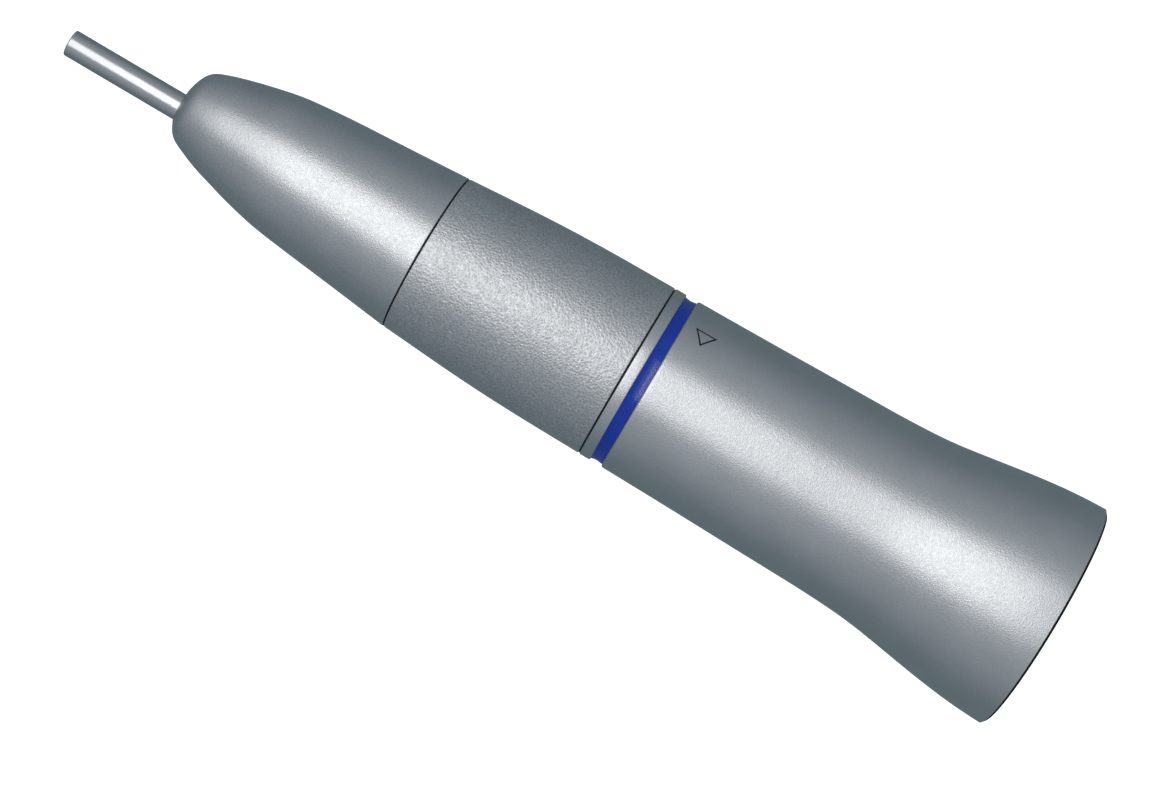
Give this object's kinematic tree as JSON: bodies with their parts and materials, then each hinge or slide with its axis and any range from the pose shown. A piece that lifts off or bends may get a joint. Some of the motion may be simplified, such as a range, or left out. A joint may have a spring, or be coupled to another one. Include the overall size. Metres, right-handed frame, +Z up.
{
  "type": "straight dental handpiece",
  "caption": "Straight low speed handpiece: offset nose with a plain shank, twist ring that opens its chuck, blue ring, waisted sleeve flaring to a motor socket.",
  "frame": {"origin": "centre of the rear plane, where the motor plugs in", "axes": "+X along the axis from the motor end to the nose, +Z up, -Y towards the nose's fuller side"},
  "size_m": [0.0935, 0.0204, 0.0204],
  "materials": {
    "satin_steel": "fine bead blasted satin",
    "coarse_steel": "coarse bead blasted, for grip",
    "bright_steel": "ground and polished",
    "plain_steel": "turned",
    "spring_steel": "drawn wire",
    "brass": "turned",
    "aluminium": "turned",
    "blue_lacquer": "glossy royal blue",
    "black_rubber": "matt black",
    "cage_resin": "moulded brown resin"
  },
  "bodies": {
    "housing": {"nose_cone": "satin_steel", "front_seal_ring": "black_rubber", "front_shield": "plain_steel", "front_bearing_a_outer_race": "bright_steel", "front_bearing_b_outer_race": "bright_steel", "rear_bearing_outer_race": "bright_steel", "outer_spacer": "plain_steel", "bearing_nut": "brass", "preload_washer": "spring_steel", "rear_bearing_nut": "brass", "bearing_tube": "aluminium", "twist_o_ring": "black_rubber", "core_ring": "aluminium", "collar_ring": "satin_steel", "id_ring": "blue_lacquer", "stop_pin": "bright_steel", "rear_sleeve": "satin_steel", "rear_rim_ring": "black_rubber", "coupling_bush": "plain_steel", "retaining_ring": "spring_steel"},
    "twist": {"twist_ring": "coarse_steel", "cam_sleeve": "brass"},
    "shifter": {"shift_ring": "plain_steel", "guide_pin_1": "bright_steel", "guide_pin_2": "bright_steel"},
    "shaft": {"spindle": "plain_steel", "front_bearing_a_inner_race": "bright_steel", "front_bearing_b_inner_race": "bright_steel", "rear_bearing_inner_race": "bright_steel", "inner_spacer": "plain_steel", "spindle_nut": "brass", "spring_seat": "plain_steel", "dog_pin": "bright_steel", "dog_spring_seat": "brass", "collet_spring": "spring_steel", "dog_spring": "spring_steel"},
    "front_cage_a": {"front_bearing_a_ball_cage": "cage_resin"},
    "front_cage_b": {"front_bearing_b_ball_cage": "cage_resin"},
    "rear_cage": {"rear_bearing_ball_cage": "cage_resin"},
    "chuck": {"collet": "bright_steel", "release_collar": "plain_steel", "cross_pin": "bright_steel", "bur_stop": "brass"},
    "shank": {"shank_pin": "bright_steel"},
    "dog": {"drive_dog": "plain_steel"}
  },
  "joints": [
    {"name": "twist_ring_turn", "type": "hinge", "parent": "housing", "child": "twist", "pos_m": [0.05, 0, 0], "axis": [1, 0, 0], "range_deg": [0, 50]},
    {"name": "shifter_slide", "type": "slide", "parent": "housing", "child": "shifter", "axis": [1, 0, 0], "range_m": [0, 0.00102]},
    {"name": "spindle_spin", "type": "hinge", "parent": "housing", "child": "shaft", "pos_m": [0.05, 0, 0], "axis": [1, 0, 0], "continuous": true},
    {"name": "front_cage_a_spin", "type": "hinge", "parent": "housing", "child": "front_cage_a", "pos_m": [0.07315, 0, 0], "axis": [1, 0, 0], "continuous": true},
    {"name": "front_cage_b_spin", "type": "hinge", "parent": "housing", "child": "front_cage_b", "pos_m": [0.06955, 0, 0], "axis": [1, 0, 0], "continuous": true},
    {"name": "rear_cage_spin", "type": "hinge", "parent": "housing", "child": "rear_cage", "pos_m": [0.0316, 0, 0], "axis": [1, 0, 0], "continuous": true},
    {"name": "chuck_slide", "type": "slide", "parent": "shaft", "child": "chuck", "axis": [1, 0, 0], "range_m": [0, 0.00102], "deforming": ["collet_spring"]},
    {"name": "shank_slide", "type": "slide", "parent": "chuck", "child": "shank", "axis": [1, 0, 0], "range_m": [0, 0.034]},
    {"name": "drive_dog_slide", "type": "slide", "parent": "shaft", "child": "dog", "axis": [1, 0, 0], "range_m": [0, 0.0015], "stiffness_N_per_m": 400, "springref_m": -0.002, "deforming": ["dog_spring"]}
  ],
  "couplings": [
    {"joint": "shifter_slide", "follows": "twist_ring_turn", "m_per_rad": 0.0011459},
    {"joint": "chuck_slide", "follows": "twist_ring_turn", "m_per_rad": 0.0011459},
    {"joint": "front_cage_a_spin", "follows": "spindle_spin", "ratio": 0.4275},
    {"joint": "front_cage_b_spin", "follows": "spindle_spin", "ratio": 0.4275},
    {"joint": "rear_cage_spin", "follows": "spindle_spin", "ratio": 0.4275}
  ]
}
